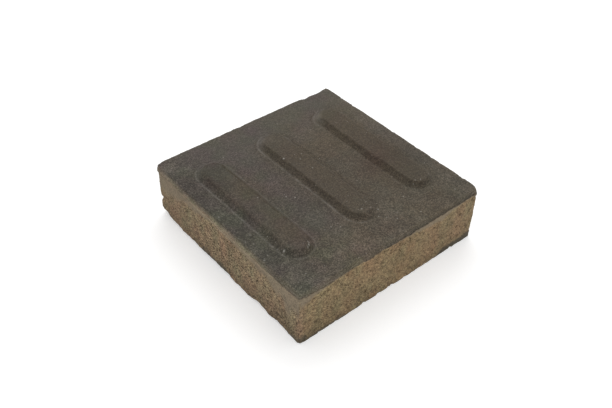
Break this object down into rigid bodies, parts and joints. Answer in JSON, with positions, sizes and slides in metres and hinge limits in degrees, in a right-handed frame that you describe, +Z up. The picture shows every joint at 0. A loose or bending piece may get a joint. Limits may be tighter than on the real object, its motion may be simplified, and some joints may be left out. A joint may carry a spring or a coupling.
{
  "type": "tactile paving slab",
  "caption": "Square concrete paving slab with raised round-ended flat-topped guide bars on a dark facing layer over a tan backing, laid as a tactile walking guide.",
  "frame": {"origin": "centre of the bed face, on the surface that the slab lies on", "axes": "+Z up, out of the face with the bars; +Y along the bars; +X across the bars"},
  "size_m": [0.2, 0.2, 0.062],
  "materials": {
    "backing_concrete": "rough open-grained tan backing concrete",
    "facing_concrete": "fine-grained dark grey-brown pigmented facing concrete"
  },
  "bodies": {
    "root": {"backing_slab": "backing_concrete", "facing_layer": "facing_concrete"}
  },
  "joints": []
}
